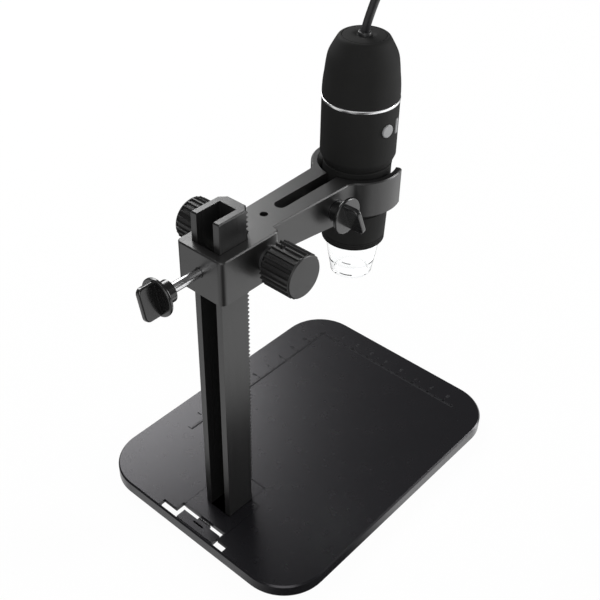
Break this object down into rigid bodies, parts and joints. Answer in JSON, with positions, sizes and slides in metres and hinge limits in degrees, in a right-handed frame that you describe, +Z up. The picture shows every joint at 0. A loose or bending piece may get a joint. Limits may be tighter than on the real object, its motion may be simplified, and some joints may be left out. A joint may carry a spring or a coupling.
{
  "type": "usb digital microscope",
  "caption": "Digital microscope on a rack stand: a round camera body held in a split collar on an arm that a pinion drives up a column, over a flat base.",
  "frame": {"origin": "centre of the base in plan, on the surface that the stand rests on", "axes": "+Z up, -Y from the column towards the microscope and the free front edge of the base, +X to the side with the long ruler"},
  "size_m": [0.2655, 0.174, 0.2647],
  "materials": {
    "base_black": "fine matte moulded black plastic",
    "arm_black": "fine grained moulded black plastic",
    "knob_black": "matte moulded black plastic with ribs",
    "wing_black": "smooth glossy black plastic",
    "casing_black": "satin black plastic casing",
    "button_grey": "satin light grey plastic",
    "trim_chrome": "polished bright ring",
    "clear_plastic": "clear moulded plastic, colourless",
    "lens_glass": "coated optical glass",
    "column_black": "black anodised extruded profile",
    "rack_black": "dark moulded gear plastic",
    "gear_brass": "machined brass",
    "steel": "turned steel",
    "ballast_steel": "zinc plated steel sheet",
    "bush_nylon": "black bearing plastic",
    "tip_nylon": "white nylon",
    "pad_rubber": "non-slip foam rubber",
    "cord_rubber": "black flexible cord jacket",
    "board_green": "green solder mask",
    "sensor_dark": "dark chip package",
    "led_white": "white lamp package",
    "optic_black": "dull black plastic"
  },
  "bodies": {
    "stand": {"base_shell": "base_black", "ballast_plate": "ballast_steel", "ballast_screws": "steel", "base_pad": "pad_rubber", "rear_feet": "pad_rubber", "column_foot": "base_black", "column": "column_black", "column_screws": "steel", "rack_strip": "rack_black", "cord_lead": "cord_rubber", "cord_coil": "cord_rubber", "cord_tie": "cord_rubber", "plug_lead": "cord_rubber", "plug_overmould": "cord_rubber", "plug_shell": "steel", "plug_tongue": "tip_nylon"},
    "latch": {"release_latch": "base_black"},
    "carriage": {"carriage_arm": "arm_black", "lock_insert": "gear_brass", "shaft_bushes": "bush_nylon", "clamp_nut": "steel"},
    "pinion": {"pinion_gear": "gear_brass", "pinion_shaft": "steel", "focus_knob_left": "knob_black", "focus_knob_right": "knob_black", "knob_grub_screws": "steel"},
    "lock": {"lock_knob": "wing_black", "lock_screw": "steel", "lock_tip": "tip_nylon"},
    "clamp": {"clamp_knob": "wing_black", "clamp_screw": "steel", "clamp_washer": "steel"},
    "microscope": {"grip_sleeve": "casing_black", "lower_housing": "casing_black", "tact_switches": "sensor_dark", "switch_board": "board_green", "trim_ring": "trim_chrome", "upper_housing": "casing_black", "top_cap": "casing_black", "cable_gland": "cord_rubber", "cord_tail": "cord_rubber", "main_board": "board_green", "board_screws": "steel", "image_sensor": "sensor_dark", "lens_tube": "optic_black", "led_board": "board_green", "leds": "led_white"},
    "snapshot": {"snapshot_button": "button_grey"},
    "zoom": {"zoom_button": "button_grey"},
    "focus_ring": {"focus_barrel": "casing_black", "clear_tip": "clear_plastic"},
    "lens_cell": {"lens_carrier": "optic_black", "objective_lens": "lens_glass"}
  },
  "joints": [
    {"name": "latch_press", "type": "hinge", "parent": "stand", "child": "latch", "pos_m": [0, 0.0754, 0.0029], "axis": [1, 0, 0], "range_deg": [0, 12], "stiffness_Nm_per_rad": 0.02},
    {"name": "carriage_slide", "type": "slide", "parent": "stand", "child": "carriage", "axis": [0, 0, 1], "range_m": [-0.08, 0.012], "deforming": ["cord_lead"]},
    {"name": "pinion_turn", "type": "hinge", "parent": "carriage", "child": "pinion", "pos_m": [0, 0.0414, 0.1405], "axis": [1, 0, 0], "range_deg": [-235, 1420]},
    {"name": "lock_turn", "type": "hinge", "parent": "carriage", "child": "lock", "pos_m": [0, 0.0793, 0.141], "axis": [0, 1, 0], "range_deg": [0, 360]},
    {"name": "clamp_turn", "type": "hinge", "parent": "carriage", "child": "clamp", "pos_m": [-0.012, -0.0005, 0.1415], "axis": [1, 0, 0], "range_deg": [0, 360]},
    {"name": "microscope_turn", "type": "hinge", "parent": "carriage", "child": "microscope", "pos_m": [0, -0.026, 0.141], "axis": [0, 0, 1], "range_deg": [-170, 170]},
    {"name": "focus_turn", "type": "hinge", "parent": "microscope", "child": "focus_ring", "pos_m": [0, -0.026, 0.1216], "axis": [0, 0, 1], "range_deg": [-151, 151]},
    {"name": "lens_focus", "type": "slide", "parent": "microscope", "child": "lens_cell", "axis": [0, 0, 1], "range_m": [-0.0025, 0.0025]},
    {"name": "snapshot_press", "type": "slide", "parent": "microscope", "child": "snapshot", "axis": [0.9925, -0.1219, 0], "range_m": [0, 0.0005], "stiffness_N_per_m": 400},
    {"name": "zoom_press", "type": "slide", "parent": "microscope", "child": "zoom", "axis": [0.9613, 0.2756, 0], "range_m": [0, 0.0005], "stiffness_N_per_m": 400}
  ],
  "couplings": [
    {"joint": "pinion_turn", "follows": "carriage_slide", "rad_per_m": -307.69},
    {"joint": "focus_turn", "follows": "lens_focus", "rad_per_m": 1047.2}
  ]
}
